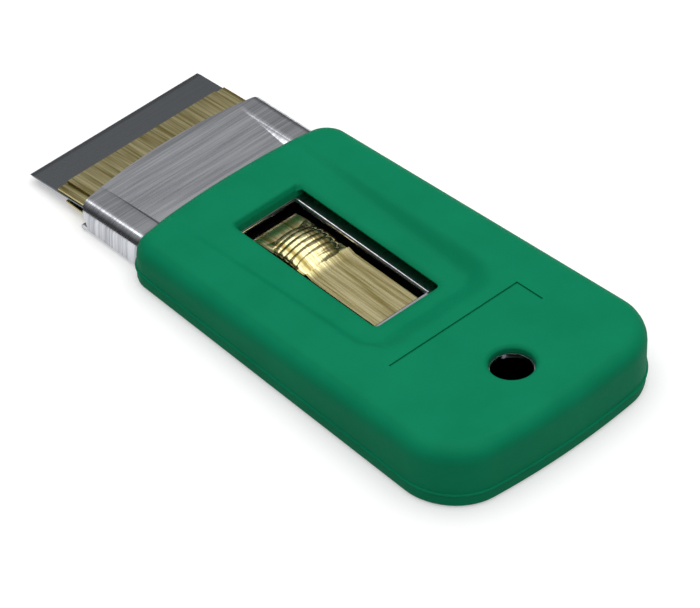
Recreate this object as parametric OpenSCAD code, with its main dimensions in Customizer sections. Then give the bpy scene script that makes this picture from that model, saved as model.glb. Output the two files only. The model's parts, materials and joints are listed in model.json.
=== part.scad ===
// Razor blade scraper: a soft grip over a pressed steel body, with a sliding blade carrier.
// The frame has its origin at the middle of the grip's flat underside.
// +Y points to the blade, +Z is up, and the scraper is the same on both sides of X = 0.

/* [Blade] */
// Length of the cutting edge
blade_width = 38.1; // [34:0.1:42]
// Depth of the blade from cutting edge to the back of its spine
blade_depth = 19; // [17:0.25:20]
// Thickness of the blade
blade_thickness = 0.25; // [0.2:0.05:0.3]
// Depth of the ground bevel along the cutting edge
bevel_depth = 1; // [0.6:0.1:1.6]
// Distance from each end of the blade to the end of its folded spine
spine_setback = 3.05; // [3:0.05:6]
// Depth of the folded spine
spine_depth = 5.5; // [4:0.25:6]
// Sheet thickness of the folded spine
spine_sheet = 0.4; // [0.3:0.05:0.4]
// How far the cutting edge stands out of the body in the working place
blade_reach = 14.8; // [12:0.1:15.5]

/* [Steel body] */
// Sheet thickness of the shell
shell_sheet = 0.8; // [0.7:0.05:0.9]
// Room between each end of the blade and the shell's side wall
blade_side_room = 0.85; // [0.7:0.05:1.2]
// Height of the shell's top at its mouth
mouth_height = 5.45; // [5.2:0.05:6]
// Height of the shell's top at its tail
tail_height = 10.4; // [9:0.1:11.5]
// How far the middle of the mouth bows forward
mouth_bow = 2.1; // [1.4:0.1:2.6]
// How far the foot of each side wall sweeps back at the mouth
mouth_sweep = 1.8; // [0.8:0.1:3]
// Radius of the bends along the top of the side walls
shell_bend = 2.35; // [1.8:0.05:2.4]
// Width of each side rail beside the pressed thumb pad
rail_width = 5.2; // [5:0.1:7]
// Depth of the gentle shoulder between each rail and the walls of the thumb pad
shoulder_depth = 0.7; // [0.5:0.05:0.8]
// Run of the shoulder over its depth
shoulder_run = 2; // [2:0.25:4]
// Radius of the shell's corners at the tail
shell_corner = 8; // [6:0.25:10]
// Length of the shell that shows in front of the grip
shell_exposed = 12.05; // [11:0.05:15]
// Sheet thickness of the base plate
base_sheet = 0.5; // [0.4:0.05:0.6]
// Diameter of the rolled hem on the front of the base plate
hem_diameter = 1; // [0.8:0.1:1.2]
// Length of each tab that joins the shell to the base plate
tab_length = 2.5; // [2:0.25:3.5]
// Distance from the mouth to the first tab on each side
tab_setback = 4.5; // [4:0.25:6]
// Distance between the two tabs of a pair
tab_spacing = 4.5; // [4:0.25:6]
// Distance between pairs of tabs
tab_pair_spacing = 35; // [25:0.5:36]
// Number of pairs of tabs along each side
tab_pairs = 3; // [2:1:3]
// Clearance of the tabs in their notches
tab_clearance = 0.05; // [0.03:0.01:0.1]

/* [Window and hole] */
// Width of the thumb window in the shell
window_width = 12.2; // [11.6:0.1:14]
// Distance from the mouth to the front of the window
window_setback = 23.5; // [22.5:0.1:25]
// Length of the thumb window
window_length = 31.4; // [31:0.1:33]
// Distance from the window to the back of the pressed thumb pad
pad_back = 6.7; // [6:0.1:7.5]
// Radius of the hanging hole
hole_radius = 3.6; // [3:0.1:4]
// Distance from the tail of the grip to the middle of the hanging hole
hole_setback = 13; // [11.5:0.1:14]

/* [Blade carrier] */
// Sheet thickness of the carrier
carrier_sheet = 0.5; // [0.4:0.05:0.55]
// Clearance between the carrier and the thumb pad above it
slide_clearance = 0.25; // [0.15:0.01:0.3]
// Clearance of the carrier's legs on the base plate and the side walls
leg_clearance = 0.1; // [0.05:0.01:0.2]
// Clearance of the blade and spine in the jaws
jaw_clearance = 0.05; // [0.03:0.01:0.08]
// How far the blade stands out beside the upper jaw
blade_overhang = 0.15; // [0.1:0.05:0.6]
// Width of the lower flange on each side of the upper jaw
flange_width = 2.1; // [1.5:0.1:2.5]
// Downward tilt of the jaws
jaw_tilt = 5; // [3:0.25:5.25]
// Length of the upper jaw
jaw_length = 12; // [9:0.25:14]
// Length of the straight carrier frame behind the jaws
frame_length = 55.5; // [54:0.25:57]
// Distance from the bend back to the front of the carrier's legs
leg_setback = 3; // [2:0.25:5]
// Radius of the bend at the top of each leg
leg_bend = 0.6; // [0.4:0.05:0.8]
// Width of the opening in the carrier frame
frame_opening = 15; // [13:0.25:17]
// Width of the bar behind the opening in the carrier frame
frame_bar = 4; // [3:0.25:6]
// Length of the opening in front of the thumb tongue
frame_ahead = 4; // [3:0.25:6]
// Width of the thumb tongue
tongue_width = 9.8; // [8:0.1:10.4]
// Length of the flat part of the thumb tongue
tongue_flat = 16.2; // [15:0.1:17]
// Length of the tongue from the ramp behind its ribs to its front lip
hump_length = 14.4; // [12:0.1:15]
// Width of the straight ramp behind the ribs
ramp_width = 1.9; // [1.6:0.1:2.4]
// Height of the ramp above the flat part of the tongue
ramp_height = 0.5; // [0.3:0.05:0.55]
// Length of the drop from the ramp to the ribs
ramp_drop = 0.3; // [0.2:0.05:0.5]
// Distance from the back of the ramp to the middle of the ribbed dome
dome_setback = 6.5; // [6:0.1:7]
// Height of the ribbed dome above the flat part of the tongue
dome_height = 1.6; // [1.2:0.05:1.7]
// Radius of the ribbed dome
dome_radius = 10; // [9:0.25:11]
// Number of grip ribs over the dome
rib_count = 7; // [4:1:9]
// Height of each grip rib
rib_height = 0.16; // [0.1:0.02:0.2]
// Distance from one rib to the next
rib_pitch = 1.37; // [1.2:0.01:1.4]
// Drop of the front lip of the tongue
lip_drop = 0.4; // [0.2:0.05:0.6]
// Length of the front lip of the tongue
lip_length = 2.4; // [2:0.1:3]

/* [Lower jaw] */
// Sheet thickness of the lower jaw
clamp_sheet = 0.4; // [0.3:0.05:0.5]
// Gap under the lower jaw
clamp_gap = 0.25; // [0.15:0.05:0.3]
// How far the lower jaw stands out beside the blade
clamp_overhang = 0.15; // [0:0.05:0.3]
// Length of the lower jaw's riveted flange
clamp_flange = 9; // [8:0.25:10]
// Width of the lower jaw's riveted flange
clamp_flange_width = 28; // [24:0.5:30]
// Radius of the rivet shanks
rivet_radius = 1.2; // [0.9:0.05:1.4]
// Radius of the rivet heads
rivet_head = 2; // [1.7:0.05:2.4]
// Distance between the two rivets
rivet_spacing = 18; // [14:0.5:20]
// Thickness of the rivets' lower heads
rivet_head_height = 0.5; // [0.3:0.05:0.8]
// Clearance of the rivets in their holes
rivet_clearance = 0.03; // [0.02:0.01:0.06]

/* [Grip] */
// Length of the grip
grip_length = 82; // [79:0.1:85]
// Wall of the grip under the base plate
grip_floor = 0.75; // [0.6:0.05:1.2]
// Wall of the grip over the shell at the front
grip_top_front = 1.95; // [1.4:0.05:2.6]
// Wall of the grip over the shell at the tail
grip_top_tail = 1.4; // [1.2:0.05:2.4]
// Wall of the grip beside the shell at the front
grip_side_front = 2.4; // [2:0.1:4]
// Wall of the grip beside the shell at the tail
grip_side_tail = 4.3; // [3.8:0.1:6]
// Wall of the grip behind the shell
grip_end = 4.9; // [4.4:0.1:6]
// Clearance between the grip and the steel body
grip_clearance = 0.05; // [0.02:0.01:0.1]
// Corner radius of the grip at the front
grip_corner_front = 4; // [3.5:0.25:7]
// Corner radius of the grip at the tail
grip_corner_tail = 9.5; // [8:0.25:11]
// How far the front of the grip bows forward
grip_bow_front = 1.7; // [0.6:0.1:2.2]
// How far the tail of the grip bows back
grip_bow_tail = 1.6; // [0.6:0.1:2.5]
// Radius along the grip's top edge
grip_round_top = 3.2; // [2:0.1:3.8]
// Radius along the grip's bottom edge
grip_round_bottom = 0.7; // [0.4:0.1:1]

/* [Thumb panel] */
// Thickness of the grip between the thumb pad and the panel's floor
panel_wall = 2.45; // [2.2:0.05:2.6]
// Width of the thumb panel at the grip's top
panel_width = 29; // [27:0.1:30]
// Run of the panel's sides over their rise
panel_side_run = 1.4; // [1:0.05:1.6]
// Run of the panel's back over its rise
panel_back_run = 1.85; // [1:0.05:2]
// Distance from the window to the back of the panel's floor
panel_back = 5.6; // [5:0.1:6]
// Margin of the grip's window beside the shell's window
window_margin_side = 1.2; // [0.4:0.1:1.4]
// Margin of the grip's window behind the shell's window
window_margin_back = 2.2; // [1:0.1:2.6]
// Margin of the grip's window in front of the shell's window
window_margin_front = 0.1; // [0:0.05:0.6]
// Thickness of the panel's floor where it bridges the thumb pad
bridge_wall = 0.8; // [0.6:0.05:1.2]
// Distance from the shell's window to the foot of the bridge at the sides and the back
bridge_margin = 4; // [3:0.1:4.5]
// Width of the shallow tail recess
recess_width = 29; // [24:0.5:32]
// Length of the shallow tail recess
recess_length = 6; // [4:0.25:6.5]
// Depth of the shallow tail recess
recess_depth = 0.3; // [0.2:0.05:0.5]
// Distance from the hanging hole to the front of the tail recess
recess_setback = 13.5; // [12:0.25:14]

/* [Hidden] */
$fn = 64;
// Extra length of a cut past the face that it opens
over = 1;
// A size larger than the whole scraper
far = 200;
// Posts on each side of the middle of the grip's bowed ends
bow_steps = 3;
// Steps along the side outline of one rib
rib_points = 8;
// Steps along the smooth side outline of the dome
dome_points = 48;

// Widths across the body
shell_inner = blade_width + 2 * blade_side_room;
shell_width = shell_inner + 2 * shell_sheet;
pad_width = shell_width - 2 * rail_width;
spine_width = blade_width - 2 * spine_setback;
jaw_width = blade_width - 2 * blade_overhang;
crown_width = jaw_width - 2 * flange_width;
frame_width = shell_inner - 2 * leg_clearance;
clamp_width = blade_width + 2 * clamp_overhang;

// Places along the body
grip_front = grip_length / 2;
grip_tail = -grip_length / 2;
mouth = grip_front + shell_exposed;
shell_tail = grip_tail + grip_end;
hole_place = grip_tail + hole_setback;
window_front = mouth - window_setback;
window_back = window_front - window_length;
edge_place = mouth + blade_reach;
bend_place = edge_place - (blade_depth + jaw_clearance) * cos(jaw_tilt);
frame_back = bend_place - frame_length;
tongue_root = frame_back + frame_bar;
hump_back = tongue_root + tongue_flat;
hump_front = hump_back + hump_length;
dome_place = hump_back + dome_setback;
lip_back = hump_front - lip_length;
clamp_step = bend_place - jaw_clearance;
rivet_place = clamp_step - clamp_flange / 2;

// Levels
base_bottom = grip_floor;
base_top = base_bottom + base_sheet;
pad_under = mouth_height - shell_sheet;
carrier_top = pad_under - slide_clearance;
carrier_under = carrier_top - carrier_sheet;
crown_rise = spine_sheet + jaw_clearance;
spine_thickness = blade_thickness + 2 * spine_sheet;
blade_level = carrier_under - jaw_clearance - spine_thickness / 2;
flange_top = blade_level + blade_thickness / 2 + jaw_clearance + carrier_sheet;
clamp_under = base_top + clamp_gap;
clamp_top = clamp_under + clamp_sheet;

// Slopes
shell_length = mouth - shell_tail;
shell_slope = atan((tail_height - mouth_height) / shell_length);
grip_height_front = mouth_height + shell_exposed * tan(shell_slope) + grip_top_front;
grip_height_tail = tail_height + grip_end * tan(shell_slope) + grip_top_tail;
grip_slope = atan((grip_height_tail - grip_height_front) / grip_length);

// The lower jaw ends where the underside of the spine would reach it
spine_low = blade_level - spine_thickness / 2;
clamp_front = bend_place + min(jaw_length, (spine_low - clamp_top - jaw_clearance) / tan(jaw_tilt));

// Tab places along the side walls, in pairs: the first pair shows in front of the grip
tab_places = [for (i = [0:tab_pairs - 1]) for (k = [0, 1])
    mouth - tab_setback - i * tab_pair_spacing - k * tab_spacing];

// Height of the shell's top at a place along the body
function shell_top(y) = mouth_height + (mouth - y) * tan(shell_slope);

// Height of the grip's top at a place along the body
function grip_top(y) = grip_height_front + (grip_front - y) * tan(grip_slope);

// Points of an arc
function arc(center, radius, from, to, steps = 8) =
    [for (i = [0:steps]) center + radius * [cos(from + (to - from) * i / steps), sin(from + (to - from) * i / steps)]];

// Gives an outline drawn in Y and Z a width across X
module across(width) {
    rotate([90, 0, 90])
        linear_extrude(height = width, center = true)
            children();
}

// Runs an outline drawn in X and Z along Y, sloping up towards the tail through a point
module along(place, height, slope) {
    translate([0, place, height])
        rotate([90 - slope, 0, 0])
            linear_extrude(height = 2 * far, center = true)
                children();
}

// Outline of a sheet channel: flat top at zero, rounded top corners, open downwards without end
module channel_outline(width, radius) {
    square_width = width - 2 * radius;
    translate([-square_width / 2, -far])
        square([square_width, far]);
    translate([-width / 2, -far])
        square([width, far - radius]);
    for (side = [-1, 1])
        translate([side * square_width / 2, -radius])
            circle(radius);
}

// Plan of the body: square at the front without end, with round corners at the tail
module plan_outline(width, tail, radius) {
    for (side = [-1, 1])
        translate([side * (width / 2 - radius), tail + radius])
            circle(radius);
    translate([-width / 2 + radius, tail])
        square([width - 2 * radius, far]);
    translate([-width / 2, tail + radius])
        square([width, far]);
}

// Outline of a trough whose walls lean in from a width at height zero, with a run over their rise
module trough_outline(width, run = 1) {
    drop = (width / 2 - over) / run;
    polygon([
        [-width / 2 - over * run, over],
        [width / 2 + over * run, over],
        [over, -drop],
        [-over, -drop],
    ]);
}

// Outline of the pressed pad: a gentle shoulder beside each rail, then steeper walls, larger all round by grow
module pad_outline(grow) {
    edge = pad_width / 2;
    shoulder_spread = grow * sqrt(1 + shoulder_run * shoulder_run);
    wall_spread = grow * sqrt(2);
    knee = -shoulder_depth + (wall_spread - shoulder_spread) / (shoulder_run - 1);
    knee_edge = edge + shoulder_run * knee + shoulder_spread;
    half = [
        [edge + shoulder_run * over + shoulder_spread, over],
        [knee_edge, knee],
        [over, knee - knee_edge + over],
    ];
    polygon(concat(half, [for (i = [2, 1, 0]) [-half[i][0], half[i][1]]]));
}

// Outside of the shell as a solid wedge from a low level up, larger all round by grow
module shell_block(grow, low) {
    bow_radius = (pow(shell_width / 2, 2) + pow(mouth_bow, 2)) / (2 * mouth_bow);
    intersection() {
        across(shell_width + 2 * grow)
            polygon([
                [shell_tail - grow, low],
                [mouth - mouth_sweep, low],
                [mouth, pad_under],
                [mouth + mouth_bow, pad_under],
                [mouth + mouth_bow, far],
                [shell_tail - grow, far],
            ]);
        along(mouth, mouth_height + grow, shell_slope)
            channel_outline(shell_width + 2 * grow, shell_bend + grow);
        linear_extrude(height = far)
            plan_outline(shell_width + 2 * grow, shell_tail - grow, shell_corner + grow);
        translate([0, mouth + mouth_bow - bow_radius, -over])
            cylinder(r = bow_radius, h = far, $fn = 360);
    }
}

// Hollow of the shell, before the thumb pad is pressed into it
module shell_hollow() {
    intersection() {
        along(mouth, mouth_height - shell_sheet, shell_slope)
            channel_outline(shell_inner, shell_bend - shell_sheet);
        linear_extrude(height = far, center = true)
            plan_outline(shell_inner, shell_tail + shell_sheet, shell_corner - shell_sheet);
    }
}

// Space above the level thumb pad, between the rails, larger all round by grow
module pad_space(grow) {
    floor_back = window_back - pad_back - grow * (sqrt(2) - 1);
    floor_level = mouth_height - grow;
    intersection() {
        along(mouth, mouth_height, shell_slope)
            pad_outline(grow);
        across(far)
            polygon([
                [floor_back, floor_level],
                [mouth + far, floor_level],
                [mouth + far, floor_level + far],
                [floor_back - far, floor_level + far],
            ]);
    }
}

// Upright bar through the thumb window, with margins
module window_bar(side, back, front) {
    translate([-window_width / 2 - side, window_back - back, pad_under - over])
        cube([window_width + 2 * side, window_length + back + front, far]);
}

// Upright bar through the hanging hole
module hole_bar() {
    translate([0, hole_place, -over])
        cylinder(r = hole_radius, h = 2 * tail_height);
}

// One rounded post of the grip, with a round top and bottom edge
module grip_post(place, radius) {
    height = grip_top(place[1]);
    translate([place[0], place[1], 0])
        rotate_extrude($fn = 48)
            polygon(concat(
                [[0, 0]],
                arc([radius - grip_round_bottom, grip_round_bottom], grip_round_bottom, -90, 0, 3),
                arc([radius - grip_round_top, height - grip_round_top], grip_round_top, 0, 90, 7),
                [[0, height]]
            ));
}

// A row of posts along one end of the grip, bowed outwards in the middle
module grip_end_row(half_width, place, bow, radius) {
    for (i = [-bow_steps:bow_steps]) {
        share = i / bow_steps;
        grip_post([share * half_width, place - bow * share * share], radius);
    }
}

// Outside of the grip
module grip_block() {
    front_x = shell_width / 2 + grip_side_front - grip_corner_front;
    tail_x = shell_width / 2 + grip_side_tail - grip_corner_tail;
    hull() {
        grip_end_row(front_x, grip_front - grip_corner_front, grip_bow_front, grip_corner_front);
        grip_end_row(tail_x, grip_tail + grip_corner_tail, -grip_bow_tail, grip_corner_tail);
    }
}

// Thumb panel: a level floor that comes out at the front, with sloping sides and back
module panel_space() {
    floor_back = window_back - panel_back;
    floor_level = mouth_height + panel_wall;
    wall_rise = far / 4;
    intersection() {
        along(grip_front, grip_height_front, grip_slope)
            trough_outline(panel_width, panel_side_run);
        across(far)
            polygon([
                [grip_front + over, floor_level],
                [floor_back, floor_level],
                [floor_back - wall_rise * panel_back_run, floor_level + wall_rise],
                [grip_front + over, floor_level + wall_rise],
            ]);
    }
}

// Hollow beside and behind the window, where the panel's floor bridges the thumb pad
module bridge_space() {
    translate([-window_width / 2 - bridge_margin, window_back - bridge_margin, pad_under])
        cube([window_width + 2 * bridge_margin, window_length + bridge_margin, shell_sheet + panel_wall - bridge_wall]);
}

// Shallow recess between the panel and the hanging hole
module recess_space() {
    place = hole_place + recess_setback - recess_length;
    translate([0, place, grip_top(place) - recess_depth])
        rotate([-grip_slope, 0, 0])
            translate([-recess_width / 2, 0, 0])
                cube([recess_width, recess_length, grip_top_tail]);
}

module grip_cover() {
    color("seagreen")
        difference() {
            grip_block();
            difference() {
                shell_block(grip_clearance, base_bottom - grip_clearance);
                pad_space(-grip_clearance);
            }
            panel_space();
            bridge_space();
            window_bar(window_margin_side, window_margin_back, window_margin_front);
            recess_space();
            hole_bar();
        }
}

// Everything below the base plate's top, but for the columns of the tabs
module below_tabs() {
    difference() {
        translate([-far / 2, -far / 2, base_top - far])
            cube([far, far, far]);
        for (place = tab_places)
            translate([0, place, 0])
                cube([2 * far, tab_length, 3 * far], center = true);
    }
}

module body_shell() {
    color("silver")
        difference() {
            shell_block(0, base_bottom);
            difference() {
                shell_hollow();
                pad_space(shell_sheet);
            }
            below_tabs();
            pad_space(0);
            window_bar(0, 0, 0);
            hole_bar();
        }
}

module base_plate() {
    hem = hem_diameter / 2;
    notch_depth = shell_sheet + tab_clearance;
    color("gainsboro")
        difference() {
            union() {
                intersection() {
                    translate([-shell_width / 2, shell_tail, base_bottom])
                        cube([shell_width, mouth - hem - shell_tail, base_sheet]);
                    linear_extrude(height = far)
                        plan_outline(shell_width, shell_tail, shell_corner);
                }
                translate([-shell_width / 2, mouth - hem, base_top - hem])
                    rotate([0, 90, 0])
                        cylinder(r = hem, h = shell_width);
            }
            for (place = tab_places)
                for (side = [-1, 1])
                    translate([side * (shell_width / 2 - notch_depth / 2 + over / 2), place, base_top])
                        cube([notch_depth + over, tab_length + 2 * tab_clearance, 4 * base_sheet], center = true);
            hole_bar();
        }
}

// Side outline of the carrier sheet: level behind the bend, tilted down in the jaw
module carrier_outline(top, back) {
    reach = [cos(jaw_tilt), -sin(jaw_tilt)] * jaw_length;
    polygon([
        [back, top],
        [bend_place, top],
        [bend_place, top] + reach,
        [bend_place, top - carrier_sheet] + reach,
        [bend_place, top - carrier_sheet],
        [back, top - carrier_sheet],
    ]);
}

// Side outline of the thumb tongue: level, with a front lip that drops
module tongue_outline() {
    polygon([
        [tongue_root - over, carrier_top],
        [lip_back, carrier_top],
        [hump_front, carrier_top - lip_drop],
        [hump_front, carrier_under - lip_drop],
        [lip_back, carrier_under],
        [tongue_root - over, carrier_under],
    ]);
}

// Height of the ribs at a distance from the middle of the dome
function rib_swell(offset) =
    let (half = rib_count * rib_pitch / 2)
        abs(offset) >= half ? 0 : rib_height * abs(sin(180 * (offset + half) / rib_pitch));

// The dome as a turned body about an axis along Y, smooth or with ribs round it
module dome_body(radius, ribs) {
    steps = ribs > 0 ? rib_count * rib_points : dome_points;
    reach = ribs > 0 ? rib_count * rib_pitch / 2 : radius - over;
    outline = [for (i = [0:steps])
        let (offset = reach * (2 * i / steps - 1))
            [sqrt(radius * radius - offset * offset) + ribs * rib_swell(offset), offset]];
    translate([0, dome_place, carrier_top + dome_height - dome_radius])
        rotate([-90, 0, 0])
            rotate_extrude($fn = 180)
                polygon(concat([[0, -reach]], outline, [[0, reach]]));
}

// Straight ramp across the tongue behind the ribs: a long slope up, then a short drop to the ribs
module tongue_ramp() {
    across(far)
        polygon([
            [hump_back, carrier_under],
            [hump_back, carrier_top],
            [hump_back + ramp_width - ramp_drop, carrier_top + ramp_height],
            [hump_back + ramp_width, carrier_top + ramp_height / 4],
            [hump_back + ramp_width, carrier_under],
        ]);
}

// Section of the carrier frame: raised in the middle, with a leg down each side
module frame_outline() {
    outer = frame_width / 2;
    inner = outer - carrier_sheet;
    crown = crown_width / 2;
    low = base_top + leg_clearance;
    half = concat(
        [[crown, carrier_top], [crown, flange_top]],
        arc([outer - leg_bend, flange_top - leg_bend], leg_bend, 90, 0, 4),
        [
            [outer, low],
            [inner, low],
            [inner, flange_top - carrier_sheet],
            [crown - carrier_sheet, flange_top - carrier_sheet],
            [crown - carrier_sheet, carrier_under],
        ]
    );
    count = len(half);
    polygon(concat(half, [for (i = [1:count]) [-half[count - i][0], half[count - i][1]]]));
}

// Upper jaw from the frame forward: the raised middle and the flange beside it
module upper_jaw(back) {
    difference() {
        union() {
            across(crown_width)
                carrier_outline(carrier_top, back);
            across(jaw_width)
                carrier_outline(flange_top, back);
        }
        difference() {
            across(crown_width - 2 * carrier_sheet)
                carrier_outline(carrier_under, back - over);
            across(crown_width)
                carrier_outline(carrier_top, back - over);
        }
    }
}

// Rivet shank through the carrier on one side, widened at the top for a flush head
module rivet_bar(side, grow) {
    translate([side * rivet_spacing / 2, rivet_place, carrier_under]) {
        translate([0, 0, -clamp_sheet])
            cylinder(r = rivet_radius + grow, h = carrier_sheet + clamp_sheet);
        translate([0, 0, carrier_sheet / 4])
            cylinder(r1 = rivet_radius + grow, r2 = rivet_head + grow, h = carrier_sheet * 3 / 4);
    }
}

// Thumb tongue: cut free at the sides and front, pressed up into a ramp and a ribbed dome
module thumb_tongue() {
    difference() {
        union() {
            across(tongue_width)
                tongue_outline();
            intersection() {
                translate([-tongue_width / 2, tongue_root, carrier_under + carrier_sheet / 2])
                    cube([tongue_width, lip_back - tongue_root, far]);
                union() {
                    dome_body(dome_radius, 1);
                    tongue_ramp();
                }
            }
        }
        intersection() {
            dome_body(dome_radius - carrier_sheet, 0);
            translate([-far / 2, tongue_root, carrier_under - over])
                cube([far, far, far]);
        }
    }
}

module blade_carrier() {
    leg_front = bend_place - leg_setback;
    color("darkkhaki")
        difference() {
            union() {
                translate([0, leg_front, 0])
                    rotate([90, 0, 0])
                        linear_extrude(height = leg_front - frame_back)
                            frame_outline();
                upper_jaw(leg_front - over);
            }
            translate([-frame_opening / 2, tongue_root, 0])
                cube([frame_opening, hump_front + frame_ahead - tongue_root, far]);
            for (side = [-1, 1])
                rivet_bar(side, rivet_clearance);
        }
    color("darkkhaki")
        thumb_tongue();
}

module blade_clamp() {
    color("tan")
        difference() {
            union() {
                translate([-clamp_flange_width / 2, clamp_step - clamp_flange, carrier_under - clamp_sheet])
                    cube([clamp_flange_width, clamp_flange, clamp_sheet]);
                translate([-clamp_flange_width / 2, clamp_step - clamp_sheet, clamp_under])
                    cube([clamp_flange_width, clamp_sheet, carrier_under - clamp_under]);
                translate([-clamp_width / 2, clamp_step - clamp_sheet, clamp_under])
                    cube([clamp_width, clamp_front - clamp_step + clamp_sheet, clamp_sheet]);
            }
            for (side = [-1, 1])
                rivet_bar(side, rivet_clearance);
        }
}

// One rivet with its lower head
module clamp_rivet(side) {
    rivet_bar(side, 0);
    translate([side * rivet_spacing / 2, rivet_place, carrier_under - clamp_sheet - rivet_head_height])
        cylinder(r = rivet_head, h = rivet_head_height);
}

module clamp_rivet_left() {
    color("goldenrod")
        clamp_rivet(-1);
}

module clamp_rivet_right() {
    color("goldenrod")
        clamp_rivet(1);
}

// Puts an outline drawn along the blade's own plane into the tilted jaws
module in_jaws(width) {
    translate([0, bend_place, blade_level])
        rotate([-jaw_tilt, 0, 0])
            translate([0, jaw_clearance, 0])
                across(width)
                    children();
}

module razor_blade() {
    half = blade_thickness / 2;
    color("dimgray")
        in_jaws(blade_width)
            polygon([
                [spine_sheet, -half],
                [blade_depth - bevel_depth, -half],
                [blade_depth, 0],
                [blade_depth - bevel_depth, half],
                [spine_sheet, half],
            ]);
}

module blade_spine() {
    half = blade_thickness / 2;
    outer = spine_thickness / 2;
    color("gray")
        in_jaws(spine_width)
            polygon([
                [0, -outer],
                [spine_depth, -outer],
                [spine_depth, -half],
                [spine_sheet, -half],
                [spine_sheet, half],
                [spine_depth, half],
                [spine_depth, outer],
                [0, outer],
            ]);
}

grip_cover();
body_shell();
base_plate();
blade_carrier();
blade_clamp();
clamp_rivet_left();
clamp_rivet_right();
razor_blade();
blade_spine();
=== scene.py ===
# %% [markdown]
# # Razor blade scraper
# A hand scraper has a soft green grip over a flat pressed steel body. A brass-plated carrier
# slides in the body and holds a razor blade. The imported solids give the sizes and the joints,
# and this lesson dresses them: each visible piece gets soft edges and a real finish.

# %% Load the frame
import json
import math

import bmesh
import bpy
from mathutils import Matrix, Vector

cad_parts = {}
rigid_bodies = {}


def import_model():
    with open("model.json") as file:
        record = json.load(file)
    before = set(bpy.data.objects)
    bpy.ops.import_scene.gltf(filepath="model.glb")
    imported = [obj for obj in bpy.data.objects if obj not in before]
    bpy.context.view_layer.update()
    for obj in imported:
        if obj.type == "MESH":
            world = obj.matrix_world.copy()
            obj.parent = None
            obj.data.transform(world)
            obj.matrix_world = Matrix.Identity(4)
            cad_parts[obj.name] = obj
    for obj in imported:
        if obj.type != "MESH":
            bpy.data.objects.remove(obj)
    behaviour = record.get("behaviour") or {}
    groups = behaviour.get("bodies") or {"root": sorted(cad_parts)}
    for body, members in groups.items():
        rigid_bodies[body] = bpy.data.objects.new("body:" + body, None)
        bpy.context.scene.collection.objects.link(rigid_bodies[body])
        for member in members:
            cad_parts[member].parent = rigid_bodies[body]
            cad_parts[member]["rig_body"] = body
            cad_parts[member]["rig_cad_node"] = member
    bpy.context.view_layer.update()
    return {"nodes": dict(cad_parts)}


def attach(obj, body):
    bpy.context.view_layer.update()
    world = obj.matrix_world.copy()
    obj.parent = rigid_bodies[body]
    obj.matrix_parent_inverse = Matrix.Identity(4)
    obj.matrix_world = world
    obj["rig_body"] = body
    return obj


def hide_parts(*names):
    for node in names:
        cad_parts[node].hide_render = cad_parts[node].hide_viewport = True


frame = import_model()
MM = 0.001
print("nodes:", ", ".join(sorted(frame["nodes"])))

# %% [markdown]
# ## Small helpers
# Operators act on whatever is selected, so a helper clears the selection and makes one object
# active. In edit mode another helper selects the parts of a mesh that pass a test of their
# place and direction, which is how faces and edges are picked when there is no mouse. The rest
# are short names for the operators that come up most, with their sizes in millimetres.

# %% Selection helpers
def only(obj):
    """Leaves object mode as the mode and obj as the one selected object."""
    if bpy.context.object and bpy.context.object.mode != "OBJECT":
        bpy.ops.object.mode_set(mode="OBJECT")
    bpy.ops.object.select_all(action="DESELECT")
    if obj:
        bpy.context.view_layer.objects.active = obj
        obj.select_set(True)


def edit(obj):
    """Opens obj in edit mode with nothing selected."""
    only(obj)
    bpy.ops.object.mode_set(mode="EDIT")
    bpy.ops.mesh.select_all(action="DESELECT")


def select_all():
    """Selects the whole mesh that is open in edit mode."""
    bpy.ops.mesh.select_all(action="SELECT")


def pick(obj, kind, test):
    """Selects in edit mode the verts, edges or faces that pass the test, and counts them."""
    bpy.ops.mesh.select_all(action="DESELECT")
    modes = {"verts": "VERT", "edges": "EDGE", "faces": "FACE"}
    bpy.ops.mesh.select_mode(type=modes[kind])
    mesh = bmesh.from_edit_mesh(obj.data)
    mesh.normal_update()
    chosen = [part for part in getattr(mesh, kind) if test(part)]
    for part in chosen:
        part.select_set(True)
    mesh.select_flush_mode()
    bmesh.update_edit_mesh(obj.data)
    return len(chosen)


def place(vert):
    """Place of a point in mm: its distance from the middle plane, its y and its z."""
    return abs(vert.co.x) / MM, vert.co.y / MM, vert.co.z / MM


def span(edge, axis):
    """Length of an edge along X, Y or Z, numbered 0 to 2, in mm."""
    return abs(edge.verts[0].co[axis] - edge.verts[1].co[axis]) / MM


# %% Modelling helpers
def at(x, y, z):
    """A point or a move from millimetres."""
    return Vector((x, y, z)) * MM


def drawing_along(falloff, size):
    """Settings of a transform that draws the points within this distance along with it."""
    return {
        "use_proportional_edit": True,
        "proportional_edit_falloff": falloff,
        "proportional_size": size * MM,
    }


def move(x, y, z, **how):
    """Moves what is selected."""
    bpy.ops.transform.translate(value=at(x, y, z), **how)


def widen(factor, **how):
    """Scales what is selected across the scraper, about its middle plane."""
    bpy.ops.transform.resize(value=(factor, 1, 1), center_override=(0, 0, 0), **how)


def tilt(slope, hinge_y, hinge_z, **how):
    """Turns what is selected about a hinge across the scraper, to rise towards the tail."""
    bpy.ops.transform.rotate(value=math.atan(slope), orient_axis="X",
                             center_override=at(0, hinge_y, hinge_z), **how)


def extrude(height):
    """Extrudes the selected faces upwards."""
    bpy.ops.mesh.extrude_region_move(TRANSFORM_OT_translate={"value": at(0, 0, height)})


def round_off(radius, segments, affect="EDGES"):
    """Rounds the selected edges, or the selected corners of a flat outline."""
    bpy.ops.mesh.bevel(offset=radius * MM, segments=segments, affect=affect)


def score(point, normal):
    """Cuts lines into the selected faces where a plane crosses them."""
    bpy.ops.mesh.bisect(plane_co=at(*point), plane_no=normal, threshold=1e-7)


def face_outwards():
    """Turns all the faces outwards."""
    select_all()
    bpy.ops.mesh.normals_make_consistent(inside=False)


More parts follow.
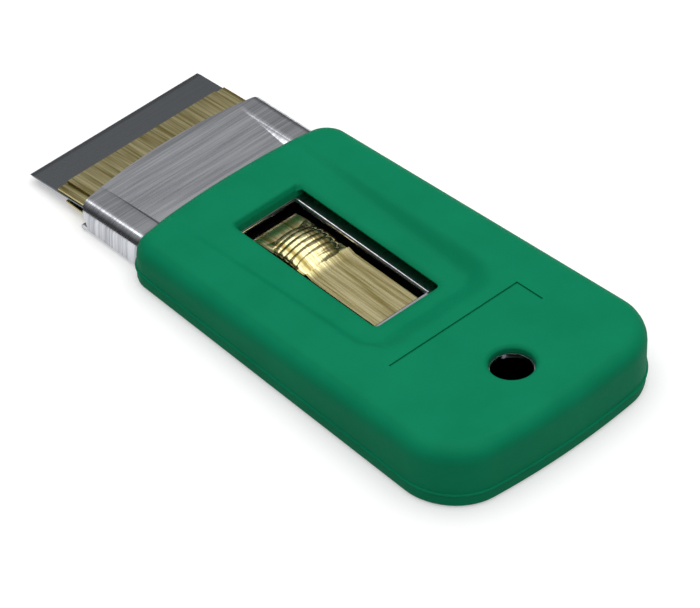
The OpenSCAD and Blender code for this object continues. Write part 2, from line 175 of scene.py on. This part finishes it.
# %% Object helpers
def new_piece(name):
    """Names the object that an operator has just added."""
    obj = bpy.context.object
    obj.name = name
    obj.data.name = name
    return obj


def rough_shape(add, name, size, middle):
    """Adds a plane or a cube of this size and place, and leaves it selected in edit mode."""
    only(None)
    add(size=MM)
    obj = new_piece(name)
    edit(obj)
    select_all()
    bpy.ops.transform.resize(value=size)
    move(*middle)
    return obj


def apply_modifier(obj, kind, **settings):
    """Adds a modifier with these settings and applies it."""
    only(obj)
    modifier = obj.modifiers.new(kind.lower(), kind)
    for key, value in settings.items():
        setattr(modifier, key, value)
    bpy.ops.object.modifier_apply(modifier=modifier.name)


def cut(obj, cutter):
    """Cuts one object away from another and deletes the cutter."""
    apply_modifier(obj, "BOOLEAN", operation="DIFFERENCE", solver="EXACT", object=cutter)
    bpy.data.objects.remove(cutter)


# %% [markdown]
# ## Camera
# A long lens from behind the grip, over its left side, with its target near the middle of the
# scraper. Its place comes from the lines of the real scraper and the length of the blade.

# %% Camera
AZIMUTH, ELEVATION = math.radians(-43.525), math.radians(42.722)
DISTANCE = 956.84 * MM
LENS_PX, IMAGE_WIDTH = 5850.445, 700  # focal length and width of the picture, in pixels
SENSOR_WIDTH = 36

target = at(-4.467, 5.0, 4.7625)
back = Vector((
    math.sin(AZIMUTH) * math.cos(ELEVATION),
    -math.cos(AZIMUTH) * math.cos(ELEVATION),
    math.sin(ELEVATION),
))
camera_data = bpy.data.cameras.new("camera")
camera_data.sensor_width = SENSOR_WIDTH
camera_data.lens = LENS_PX * SENSOR_WIDTH / IMAGE_WIDTH
camera_data.clip_start = 0.05
camera = bpy.data.objects.new("camera", camera_data)
bpy.context.scene.collection.objects.link(camera)
camera.location = target + back * DISTANCE
camera.rotation_euler = (-back).to_track_quat("-Z", "Y").to_euler()
bpy.context.scene.camera = camera
print(f"lens {camera_data.lens:.1f} mm")

# %% [markdown]
# ## Node helpers and colours
# Colours are written as sRGB hex values, as a picture shows them, and one function turns them
# to the linear values that shaders use. The others add nodes with their settings and links.

# %% Colour and node helpers
def colour(hex_value):
    """Linear colour of an sRGB hex value."""
    channels = [int(hex_value[i:i + 2], 16) / 255 for i in (1, 3, 5)]
    linear = [c / 12.92 if c <= 0.04045 else ((c + 0.055) / 1.055) ** 2.4 for c in channels]
    return (*linear, 1.0)


def grey(value):
    """A grey of that linear value."""
    return (value, value, value, 1.0)


def wire(tree, node, inputs):
    """Links the inputs of a node to sockets, or sets them to values."""
    for socket, value in inputs.items():
        if isinstance(value, bpy.types.NodeSocket):
            tree.links.new(value, node.inputs[socket])
        else:
            node.inputs[socket].default_value = value


def add_node(tree, kind, inputs=None, **settings):
    """Adds a node, sets its properties, and links or sets its inputs."""
    node = tree.nodes.new(kind)
    for key, value in settings.items():
        setattr(node, key, value)
    wire(tree, node, inputs or {})
    return node


def calculate(tree, operation, first, second):
    """The result of a sum with two inputs, each a socket or a number."""
    inputs = {0: first, 1: second}
    return add_node(tree, "ShaderNodeMath", inputs, operation=operation).outputs[0]


def ramp(tree, factor, *stops):
    """The colour of a ramp whose stops are pairs of place and colour."""
    node = add_node(tree, "ShaderNodeValToRGB", {"Fac": factor})
    elements = node.color_ramp.elements
    while len(elements) < len(stops):
        elements.new(0.5)
    for element, (position, value) in zip(elements, stops):
        element.position = position
        element.color = value
    return node.outputs["Color"]


def new_material(name):
    """A material with an empty node tree, its Principled shader and its output."""
    material = bpy.data.materials.new(name)
    material.use_nodes = True
    tree = material.node_tree
    tree.nodes.clear()
    shader = add_node(tree, "ShaderNodeBsdfPrincipled")
    add_node(tree, "ShaderNodeOutputMaterial", {"Surface": shader.outputs["BSDF"]})
    return material, tree, shader


# %% [markdown]
# ## Light and floor
# Product photographs of metal use one large soft light overhead and leave the low sides dark,
# so that bends show a white band beside a black one. The world is a dome that brightens towards
# a point a little off the zenith. The floor is plain and pale, and is lifted to near white
# where the camera or a mirror sees it, without lighting the scraper from below.

# %% World
BRIGHTEST = (0.21, 0.21, 0.95)  # direction of the brightest part of the dome
DOME = ((0.0, 0.05), (0.4, 0.07), (0.6, 0.22), (0.78, 0.34), (0.862, 0.5), (1.0, 0.55))

world = bpy.data.worlds.new("studio")
bpy.context.scene.world = world
world.use_nodes = True
tree = world.node_tree
tree.nodes.clear()
direction = add_node(tree, "ShaderNodeTexCoord").outputs["Generated"]
lean = add_node(tree, "ShaderNodeVectorMath", {0: direction, 1: BRIGHTEST},
                operation="DOT_PRODUCT").outputs["Value"]
dome = ramp(tree, lean, *((position, grey(value)) for position, value in DOME))
background = add_node(tree, "ShaderNodeBackground", {"Color": dome, "Strength": 1.0})
add_node(tree, "ShaderNodeOutputWorld", {"Surface": background.outputs["Background"]})

# %% Lamp
lamp_data = bpy.data.lights.new("soft_box", "AREA")
lamp_data.shape = "SQUARE"
lamp_data.size = 0.98
lamp_data.energy = 5.0
lamp = bpy.data.objects.new("soft_box", lamp_data)
bpy.context.scene.collection.objects.link(lamp)
lamp.location = (0.02, -0.05, 0.6)
lamp.rotation_euler = (0, 0, math.radians(45))

# %% Floor
FLOOR_DROP = 0.02  # mm under the scraper, so that no two faces lie in one plane
FLOOR_LIFT = 0.38

only(None)
bpy.ops.mesh.primitive_plane_add(size=6, location=at(0, 0, -FLOOR_DROP))
floor = new_piece("floor")
floor_material, tree, shader = new_material("pale_paper")
rays = add_node(tree, "ShaderNodeLightPath").outputs
seen = calculate(tree, "MAXIMUM", rays["Is Camera Ray"], rays["Is Glossy Ray"])
seen = calculate(tree, "MAXIMUM", seen, rays["Is Transmission Ray"])
wire(tree, shader, {
    "Base Color": colour("#D8D8D8"),
    "Roughness": 0.9,
    "Emission Color": grey(1.0),
    "Emission Strength": calculate(tree, "MULTIPLY", seen, FLOOR_LIFT),
})
floor.data.materials.append(floor_material)
print("lamp and floor are set")

# %% [markdown]
# ## Finishes: the green rubber
# The grip is a thermoplastic rubber, moulded in a tool whose walls are lightly spark-eroded.
# That gives the eye a deep green with a soft, broad gloss and a faint grain. Real grain is about
# 0.1 mm and would not show at this size, so it is drawn at 0.45 mm.

# %% Moulded rubber
def object_noise(tree, size_mm, **inputs):
    """A noise on Object coordinates whose features have these sizes in mm along X, Y and Z."""
    here = add_node(tree, "ShaderNodeTexCoord").outputs["Object"]
    scale = tuple(1 / (size * MM) for size in size_mm)
    mapped = add_node(tree, "ShaderNodeMapping", {"Vector": here, "Scale": scale})
    inputs = {"Vector": mapped.outputs["Vector"], "Scale": 1.0, **inputs}
    return add_node(tree, "ShaderNodeTexNoise", inputs).outputs["Fac"]


CLOUD, GRAIN = 9, 0.45  # sizes of the shades and of the grain, in mm

rubber, tree, shader = new_material("moulded_rubber_green")
clouds = object_noise(tree, (CLOUD, CLOUD, CLOUD), Detail=3.0)
grain = object_noise(tree, (GRAIN, GRAIN, GRAIN), Detail=2.0)
bump = add_node(tree, "ShaderNodeBump",
                {"Height": grain, "Strength": 0.25, "Distance": 0.05 * MM})
wire(tree, shader, {
    "Base Color": ramp(tree, clouds, (0.35, colour("#087B55")), (0.65, colour("#0A8059"))),
    "Roughness": ramp(tree, grain, (0.3, grey(0.52)), (0.7, grey(0.62))),
    "Normal": bump.outputs["Normal"],
    "Specular IOR Level": 0.04,
})

# %% [markdown]
# ## Finishes: brushed metal
# The steel sheet and the brass-plated carrier were brushed with an abrasive belt before they
# were pressed, which leaves long fine scratches in one direction: across the body on the steel,
# along the slide on the brass. The mean of a fine and a broad noise, both stretched along the
# brush, gives the streaks, and it moves both the colour and the roughness. Real scratches are
# near 0.05 mm, and the fine streaks are drawn at 0.35 mm so that they show.

# %% Brushed metals
def brushed_metal(name, dark, light, rough, streak_mm, band_mm):
    """A metal whose fine streaks and broader bands have these sizes in mm along X, Y and Z."""
    material, tree, shader = new_material(name)
    streaks = object_noise(tree, streak_mm, Detail=3.0, Roughness=0.6)
    bands = object_noise(tree, band_mm, Detail=2.0)
    brush = calculate(tree, "MULTIPLY", calculate(tree, "ADD", streaks, bands), 0.5)
    wire(tree, shader, {
        "Base Color": ramp(tree, brush, (0.4, colour(dark)), (0.6, colour(light))),
        "Roughness": ramp(tree, brush, (0.4, grey(rough + 0.06)), (0.6, grey(rough - 0.04))),
        "Metallic": 1.0,
    })
    return material


steel = brushed_metal("brushed_steel_sheet", "#A2A4AA", "#D0D2D7", 0.18,
                      streak_mm=(14, 0.35, 14), band_mm=(30, 1.3, 30))
brass = brushed_metal("brushed_brass_plate", "#8E8048", "#EADFAC", 0.2,
                      streak_mm=(0.35, 14, 14), band_mm=(1.2, 30, 30))
blade_steel = brushed_metal("ground_blade_steel", "#707478", "#7C8084", 0.3,
                            streak_mm=(20, 0.6, 20), band_mm=(30, 2, 30))
print("metals:", steel.name, brass.name, blade_steel.name)

# %% [markdown]
# ## Grip: plan and block
# The grip is a slip-on cover with a bowed front, a wider round tail and a top that rises to the
# tail. It could be lofted from sections, but a plan that is drawn once, extruded and bevelled
# gives the same even rounds as the real mould.

# %% Plan of the grip
GRIP_LENGTH, FRONT_WIDTH, TAIL_WIDTH = 77.8, 45.96, 50.56  # before the ends are bowed
FRONT_CORNER, TAIL_CORNER = 4, 9.5
END_BOW = 2.1
HALF_LENGTH = GRIP_LENGTH / 2
CLOSE = 0.1  # a point this near to a line counts as on it

grip = rough_shape(bpy.ops.mesh.primitive_plane_add, "grip_moulding",
                   (FRONT_WIDTH, GRIP_LENGTH, 1), (0, 0, 0))
pick(grip, "verts", lambda v: v.co.y < 0)
widen(TAIL_WIDTH / FRONT_WIDTH)
pick(grip, "verts", lambda v: v.co.y > 0)
round_off(FRONT_CORNER, 8, "VERTICES")
pick(grip, "verts", lambda v: v.co.y < (CLOSE - HALF_LENGTH) * MM)
round_off(TAIL_CORNER, 14, "VERTICES")


def on_end(vert, side):
    """True for the points of the front end, side 1, or of the tail end, side -1."""
    return side * vert.co.y > (HALF_LENGTH - CLOSE) * MM


for side, width in ((1, FRONT_WIDTH), (-1, TAIL_WIDTH)):
    pick(grip, "edges", lambda e: all(on_end(v, side) for v in e.verts) and span(e, 0) > 20)
    bpy.ops.mesh.subdivide(number_cuts=19)
    pick(grip, "verts", lambda v: on_end(v, side) and abs(v.co.x) < CLOSE * MM)
    move(0, side * END_BOW, 0, **drawing_along("INVERSE_SQUARE", width / 2))
only(grip)
print("plan points:", len(grip.data.vertices),
      "length mm:", round(grip.dimensions.y / MM, 2))

# %% Block with a rising top and round edges
FRONT_TIP = HALF_LENGTH + END_BOW
TOP_FRONT, TOP_SLOPE = 8.07, 0.0488  # height of the top at the front tip, and its rise
TOP_ROUND, FOOT_ROUND = 3.2, 0.7


def grip_top(y):
    """Height of the grip's top, in mm, at a place along it."""
    return TOP_FRONT + TOP_SLOPE * (FRONT_TIP - y)


edit(grip)
select_all()
extrude(TOP_FRONT)
tilt(TOP_SLOPE, FRONT_TIP, TOP_FRONT)
face_outwards()
pick(grip, "edges", lambda e: all(v.co.z > (TOP_FRONT - CLOSE) * MM for v in e.verts))
round_off(TOP_ROUND, 8)
pick(grip, "edges", lambda e: all(v.co.z < CLOSE * MM for v in e.verts))
round_off(FOOT_ROUND, 3)
only(grip)
print("block mm:", [round(size / MM, 2) for size in grip.dimensions])

# %% [markdown]
# ## Grip: mould line
# The two halves of the mould meet in a plane a little above the floor, and a thin ridge of rubber
# flash stands out there. Three bisects draw close lines all round, and the middle one is pushed
# out, so that the upper side of the ridge catches the light from above.

# %% Mould line
MOULD_LINE, FLASH = 2.7, 0.3  # height of the line, and how far the ridge stands out

edit(grip)
for offset in (-0.1, 0, 0.25):
    select_all()
    score((0, 0, MOULD_LINE + offset), (0, 0, 1))
ridge = pick(grip, "verts", lambda v: abs(v.co.z - MOULD_LINE * MM) < 0.01 * MM)
bpy.ops.transform.shrink_fatten(value=FLASH * MM)
only(grip)
print("points on the mould line:", ridge, "width mm:", round(grip.dimensions.x / MM, 2))

# %% [markdown]
# ## Grip: thumb panel
# Round the window the rubber dips into a broad panel for the thumb. Its floor is level, so it is
# deepest at the back and fades out at the front, and flat slopes lead down to it. A cut with a
# wedge would leave hard edges. Here the top is bisected into a fine grid, and the floor is pressed
# down and turned level with proportional editing, which draws the slopes down with it.

# %% Grid on the top of the grip
FLOOR_LEVEL, FLOOR_EDGE, FLOOR_BACK = 7.9, 11.6, -7.45
SLOPE_RUN = 3.0
COLUMN, ROW = FLOOR_EDGE / 16, 0.75  # sizes of a cell
ROWS_BEHIND = 4  # rows on the slope behind the floor
LAST_LINES = [-13.4, -12.6]  # two more lines behind the grid, where the smoothing ends


def on_top(face):
    """True for the faces of the grip's top."""
    return face.normal.z > 0.9


def on_front_round(face):
    """True for the faces of the round over the grip's front edge."""
    middle = face.calc_center_median()
    return middle.y > 36 * MM and middle.z > 4.6 * MM and face.normal.y > 0.1


edit(grip)
for step in range(-21, 22):
    pick(grip, "faces", lambda f: on_top(f) or on_front_round(f))
    score((COLUMN * step, 0, 0), (1, 0, 0))
for line in LAST_LINES + [FLOOR_BACK + ROW * step for step in range(-ROWS_BEHIND, 61)]:
    pick(grip, "faces", on_top)
    score((0, line, 0), (0, 1, 0))
only(grip)
print("faces with the grid:", len(grip.data.polygons))

# %% Press the panel's floor down
TOP_LOWEST = 6  # all the points of the top lie above this height
SLACK = 0.05


def on_floor(vert, edge=FLOOR_EDGE, back=FLOOR_BACK, corner=1.5):
    """True for the points of the panel's floor, whose back corners are round."""
    x, y, z = place(vert)
    past_corner = math.hypot(max(0, x - edge + corner), max(0, back + corner - y))
    inside = x < edge + SLACK and y > back - SLACK and past_corner < corner + SLACK
    return inside and z > TOP_LOWEST


sloped = drawing_along("LINEAR", SLOPE_RUN)
edit(grip)
floor_points = pick(grip, "verts", on_floor)
move(0, 0, FLOOR_LEVEL - TOP_FRONT, **sloped)
tilt(-TOP_SLOPE, FRONT_TIP, FLOOR_LEVEL, **sloped)
heights = [v.co.z / MM for v in bmesh.from_edit_mesh(grip.data).verts
           if v.select and v.co.y < 36 * MM]
print("floor points:", floor_points,
      "from", round(min(heights), 2), "to", round(max(heights), 2), "mm")

# %% Widen the floor to the front, and lengthen the slope at its back
SPREAD = 1.018  # each step widens the floor, from a place further forward, by this factor
SPREAD_START, SPREAD_STEP = -1, 5
ROW_SHIFT = 0.325


def behind_floor(vert, row):
    """True for the points of one row of the grid behind the floor."""
    x, y, z = place(vert)
    return abs(y - FLOOR_BACK + ROW * row) < SLACK and x < 15.3 and z > TOP_LOWEST


def on_slopes(vert):
    """True for the points of the panel's slopes and of the edges above and below them."""
    x, y, z = place(vert)
    return z > TOP_LOWEST and -13 < y < 37 and x < 15 and (x > 9.5 or y < -6.5)


for step in range(8):
    floor_edge = FLOOR_EDGE * SPREAD ** step
    start = SPREAD_START + SPREAD_STEP * step
    pick(grip, "verts", lambda v: on_floor(v, floor_edge, start, corner=0.1))
    widen(SPREAD, **sloped)
for row in range(1, ROWS_BEHIND + 1):
    pick(grip, "verts", lambda v: behind_floor(v, row))
    move(0, -ROW_SHIFT * row, ROW_SHIFT * TOP_SLOPE * row)
soft_points = pick(grip, "verts", on_slopes)
bpy.ops.mesh.vertices_smooth(factor=0.5, repeat=2, xaxis=False, yaxis=False)
print("points on the slopes:", soft_points)

# %% [markdown]
# ## Grip: room for the steel body
# The rubber is hollow and fits round the pressed body. The room is a block with a rising top,
# round long edges and round tail corners, and the pressed trough of the thumb pad is first cut
# out of the block, so that the rubber follows the steel down to the pad. Round the window the
# rubber is a thin bridge over the pad, which leaves the dark gap that shows under its rim.

# %% Room for the body
ROOM_WIDTH, ROOM_LENGTH, ROOM_HEIGHT = 41.5, 96.15, 4
FRONT_RISE, TAIL_RISE = 0.41, 5.75  # how far the two ends of the room's top are raised
ROOM_CORNER, ROOM_ROUND = 8.05, 2.4

room = rough_shape(bpy.ops.mesh.primitive_cube_add, "body_room",
                   (ROOM_WIDTH, ROOM_LENGTH, ROOM_HEIGHT), (0, 11.925, 2.7))
for side, rise in ((1, FRONT_RISE), (-1, TAIL_RISE)):
    pick(room, "verts", lambda v: v.co.z > 3 * MM and side * v.co.y > 0)
    move(0, 0, rise)


def tail_upright(edge):
    """True for the two upright edges at the tail of the room."""
    return all(v.co.y < 0 for v in edge.verts) and span(edge, 0) < 1 and span(edge, 2) > 1


def long_top_edge(edge):
    """True for the edges along the sides of the room's top."""
    return all(v.co.z > 5 * MM and abs(v.co.x) > (ROOM_WIDTH / 2 - SLACK) * MM
               for v in edge.verts)


pick(room, "edges", tail_upright)
round_off(ROOM_CORNER, 10)
pick(room, "edges", long_top_edge)
round_off(ROOM_ROUND, 7)

# %% Trough of the thumb pad
TROUGH_TAIL, TROUGH_MOUTH, TROUGH_LENGTH = 22.76, 30.38, 68.55
TROUGH_LEVEL, TROUGH_RISE = 5.5, 7  # its sides and its back lean out by half a right angle

trough = rough_shape(bpy.ops.mesh.primitive_plane_add, "pad_trough",
                     (TROUGH_TAIL, TROUGH_LENGTH, 1), (0, 25.725, TROUGH_LEVEL))
pick(trough, "verts", lambda v: v.co.y > 0)
widen(TROUGH_MOUTH / TROUGH_TAIL)
select_all()
extrude(TROUGH_RISE)
pick(trough, "verts", lambda v: v.co.z > 10 * MM and v.co.y > 0)
widen((TROUGH_MOUTH + 2 * TROUGH_RISE) / TROUGH_MOUTH)
pick(trough, "verts", lambda v: v.co.z > 10 * MM and v.co.y < 0)
widen((TROUGH_TAIL + 2 * TROUGH_RISE) / TROUGH_TAIL)
move(0, -TROUGH_RISE, 0)
face_outwards()
cut(room, trough)
cut(grip, room)

# %% Hollow under the bridge
bridge = rough_shape(bpy.ops.mesh.primitive_cube_add, "bridge_hollow",
                     (20.2, 35.4, 2.45), (0, 11.85, 5.875))
cut(grip, bridge)
print("grip with its room:", len(grip.data.polygons), "faces")

# %% [markdown]
# ## Grip: window, hanging hole and recess
# The window shows the brass tongue, and the hole goes through rubber and steel for a hook. Their
# rims are rounded over. Each cutter therefore flares like a trumpet where it leaves the rubber:
# its top face is turned to the slope of the surface, then raised and widened in small steps
# along an arc. The recess is a shallow step with sharp edges.

# %% Cutters with round rims
FLARE_STEPS = 7
OVERSHOOT = 1.5  # the last step runs out past the surface, so that the cut is clean


def rim_drop(radius, turn):
    """How far a rim of this radius, turned by so many degrees, falls below the surface."""
    return radius * (1 - math.cos(math.radians(turn)))


def flare(middle, half_sizes, radius, turn):
    """Widens the selected top face of a cutter along an arc that starts steep and ends level."""
    start = math.radians(turn)
    out = rise = 0.0
    for step in range(1, FLARE_STEPS + 2):
        angle = start * (1 - 0.95 * min(step, FLARE_STEPS) / FLARE_STEPS)
        new_out = radius * (math.sin(start) - math.sin(angle))
        new_rise = radius * (math.cos(angle) - math.cos(start))
        if step > FLARE_STEPS:
            new_out = out + OVERSHOOT
            new_rise = rise + OVERSHOOT * math.tan(angle) + 0.02
        extrude(new_rise - rise)
        factors = [(half + new_out) / (half + out) for half in half_sizes]
        bpy.ops.transform.resize(value=(*factors, 1), center_override=at(*middle, 0))
        out, rise = new_out, new_rise
    extrude(6)


def rimmed_cut(cutter, foot, surface, slope, middle, half_sizes, rim):
    """Raises a flat outline to a round rim under a sloping surface, and cuts the grip with it."""
    top = surface - rim_drop(*rim)
    edit(cutter)
    select_all()
    extrude(top - foot)
    tilt(slope, middle[1], top)
    flare(middle, half_sizes, *rim)
    face_outwards()
    cut(grip, cutter)


# %% Window
WINDOW_WIDTH, WINDOW_LENGTH, WINDOW_MIDDLE, WINDOW_FOOT = 14.6, 33.7, 12.8, 4.5
WINDOW_FRONT = WINDOW_MIDDLE + WINDOW_LENGTH / 2
WINDOW_RIM = (2.2, 42)  # radius in mm and turn in degrees

window = rough_shape(bpy.ops.mesh.primitive_plane_add, "window_cutter",
                     (WINDOW_WIDTH, WINDOW_LENGTH, 1), (0, WINDOW_MIDDLE, WINDOW_FOOT))
round_off(0.9, 4, "VERTICES")
rimmed_cut(window, WINDOW_FOOT, FLOOR_LEVEL, 0, (0, WINDOW_MIDDLE),
           (WINDOW_WIDTH / 2, WINDOW_LENGTH / 2), WINDOW_RIM)


def on_front_rim(vert):
    """True for the points of the lower edge of the window's front rim."""
    _, y, z = place(vert)
    rim_level = FLOOR_LEVEL - rim_drop(*WINDOW_RIM)
    return abs(z - rim_level) < SLACK and abs(y - WINDOW_FRONT) < CLOSE


# At the front the round of the rim reaches further down, so its lower edge is drawn down there.
edit(grip)
rim_points = pick(grip, "verts", on_front_rim)
move(0, 0.1, -0.6, **drawing_along("SMOOTH", 0.9))
only(grip)
print("points drawn down at the front rim:", rim_points)

# %% Hanging hole
HOLE_RADIUS, HOLE_PLACE, HOLE_FOOT = 3.85, -28, -1
HOLE_RIM = (1.3, 60)

only(None)
bpy.ops.mesh.primitive_circle_add(vertices=56, radius=HOLE_RADIUS * MM, fill_type="NGON",
                                  location=at(0, HOLE_PLACE, HOLE_FOOT))
hole = new_piece("hole_cutter")
bpy.ops.object.transform_apply(location=True)
rimmed_cut(hole, HOLE_FOOT, grip_top(HOLE_PLACE), TOP_SLOPE, (0, HOLE_PLACE),
           (HOLE_RADIUS, HOLE_RADIUS), HOLE_RIM)

# %% Recess
RECESS_PLACE, RECESS_DEPTH = -17.5, 0.3
recess_level = grip_top(RECESS_PLACE) - RECESS_DEPTH

recess = rough_shape(bpy.ops.mesh.primitive_plane_add, "recess_cutter",
                     (29, 6, 1), (0, RECESS_PLACE, recess_level))
tilt(TOP_SLOPE, RECESS_PLACE, recess_level)
extrude(3)
face_outwards()
cut(grip, recess)

# %% Finish the grip
def finish_piece(obj, body, material, slot, *nodes, angle=35):
    """Smooths a piece, gives it its finish, ties it to its body and hides the solids that it
    replaces.
    """
    only(obj)
    bpy.ops.object.shade_smooth_by_angle(angle=math.radians(angle))
    apply_modifier(obj, "WEIGHTED_NORMAL", keep_sharp=True)
    obj.data.materials.clear()
    obj.data.materials.append(material)
    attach(obj, body)
    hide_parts(*nodes)
    mesh = bmesh.new()
    mesh.from_mesh(obj.data)
    open_edges = sum(not edge.is_manifold for edge in mesh.edges)
    mesh.free()
    print(obj.name, "faces:", len(obj.data.polygons), "open edges:", open_edges)


finish_piece(grip, "body", rubber, "grip_rubber", "grip_cover")

# %% [markdown]
# ## Pressed steel and brass
# The shell, the base plate, the carrier and the lower jaw are bent from sheet, and the packed
# solids already have their outlines. A sheet edge is never quite sharp, and the bright lines
# along it are what makes metal look like metal. Each visible sheet is therefore a copy of its
# solid, with merged points, whose sharp edges get a small bevel.

# %% Copy of a sheet piece
def sheet_copy(node, name):
    """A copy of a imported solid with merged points."""
    only(frame["nodes"][node])
    bpy.ops.object.duplicate()
    piece = new_piece(name)
    bpy.ops.object.parent_clear(type="CLEAR_KEEP_TRANSFORM")
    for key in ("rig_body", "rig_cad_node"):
        del piece[key]
    edit(piece)
    select_all()
    bpy.ops.mesh.remove_doubles(threshold=1e-6)
    only(piece)
    return piece


def break_edges(obj, width, sharper_than=32):
    """Bevels every edge that turns by more than so many degrees."""
    apply_modifier(obj, "BEVEL", width=width * MM, segments=2, limit_method="ANGLE",
                   angle_limit=math.radians(sharper_than))


# %% Shell
# The bends between the rails and the pad, and the edge of the shell's window, get larger rounds
# before the small bevel on all sharp edges. The low smoothing angle keeps the pad's step crisp.
PAD_LEVEL, MOUTH, RAIL_SLOPE, RAIL_EDGE = 5.45, 53.05, 0.05552, 15.5
SHELL_WINDOW_HALF, SHELL_WINDOW_BACK, SHELL_WINDOW_FRONT = 6.2, -1.95, 29.65

shell = sheet_copy("body_shell", "steel_shell")


def on_rail_edge(vert):
    """True for the points of the inner edges of the rails' tops."""
    x, y, z = place(vert)
    rail_height = PAD_LEVEL + RAIL_SLOPE * (MOUTH - y)
    return abs(x - RAIL_EDGE) < 0.06 and abs(z - rail_height) < 0.06


def on_window_edge(vert):
    """True for the points of the upper edge of the shell's window."""
    x, y, z = place(vert)
    inside = x < SHELL_WINDOW_HALF and SHELL_WINDOW_BACK < y < SHELL_WINDOW_FRONT
    return inside and abs(z - PAD_LEVEL) < 0.02


def rail_edge(edge):
    """True for the edges along the rails, not for those across the shell."""
    return all(on_rail_edge(v) for v in edge.verts) and span(edge, 0) < 1


def window_edge(edge):
    """True for the sharp edges round the shell's window."""
    sharp = not edge.is_boundary and edge.calc_face_angle(0) > 1
    return sharp and all(on_window_edge(v) for v in edge.verts)


edit(shell)
rail_edges = pick(shell, "edges", rail_edge)
round_off(0.5, 5)
window_edges = pick(shell, "edges", window_edge)
round_off(0.4, 8)
break_edges(shell, 0.12)
finish_piece(shell, "body", steel, "body_steel", "body_shell", angle=12)
print("rail edges rounded:", rail_edges, "window edges rounded:", window_edges)

# %% Base plate
base = sheet_copy("base_plate", "steel_base")
break_edges(base, 0.1)
finish_piece(base, "body", steel, "body_steel", "base_plate")

# %% Carrier
# Its ribs turn by less than the limit, so that their flanks stay as they are.
carrier = sheet_copy("blade_carrier", "brass_carrier")
break_edges(carrier, 0.08, sharper_than=70)
finish_piece(carrier, "slide", brass, "carrier_brass", "blade_carrier")

# %% Lower jaw
jaw = sheet_copy("blade_clamp", "brass_lower_jaw")
break_edges(jaw, 0.08)
finish_piece(jaw, "slide", brass, "carrier_brass", "blade_clamp")

# %% [markdown]
# ## Plain nodes
# The blade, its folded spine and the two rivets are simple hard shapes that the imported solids
# already give, so these keep their meshes and only get a finish.

# %% Finishes of the plain nodes
plain_nodes = {
    "razor_blade": blade_steel,
    "blade_spine": steel,
    "clamp_rivet_left": brass,
    "clamp_rivet_right": brass,
}
for name, material in plain_nodes.items():
    node_mesh = frame["nodes"][name].data
    node_mesh.materials.clear()
    node_mesh.materials.append(material)
print("nodes with their own meshes:", ", ".join(plain_nodes))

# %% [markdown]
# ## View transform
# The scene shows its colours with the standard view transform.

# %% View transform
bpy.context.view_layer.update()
scene = bpy.context.scene
scene.view_settings.view_transform = "Standard"
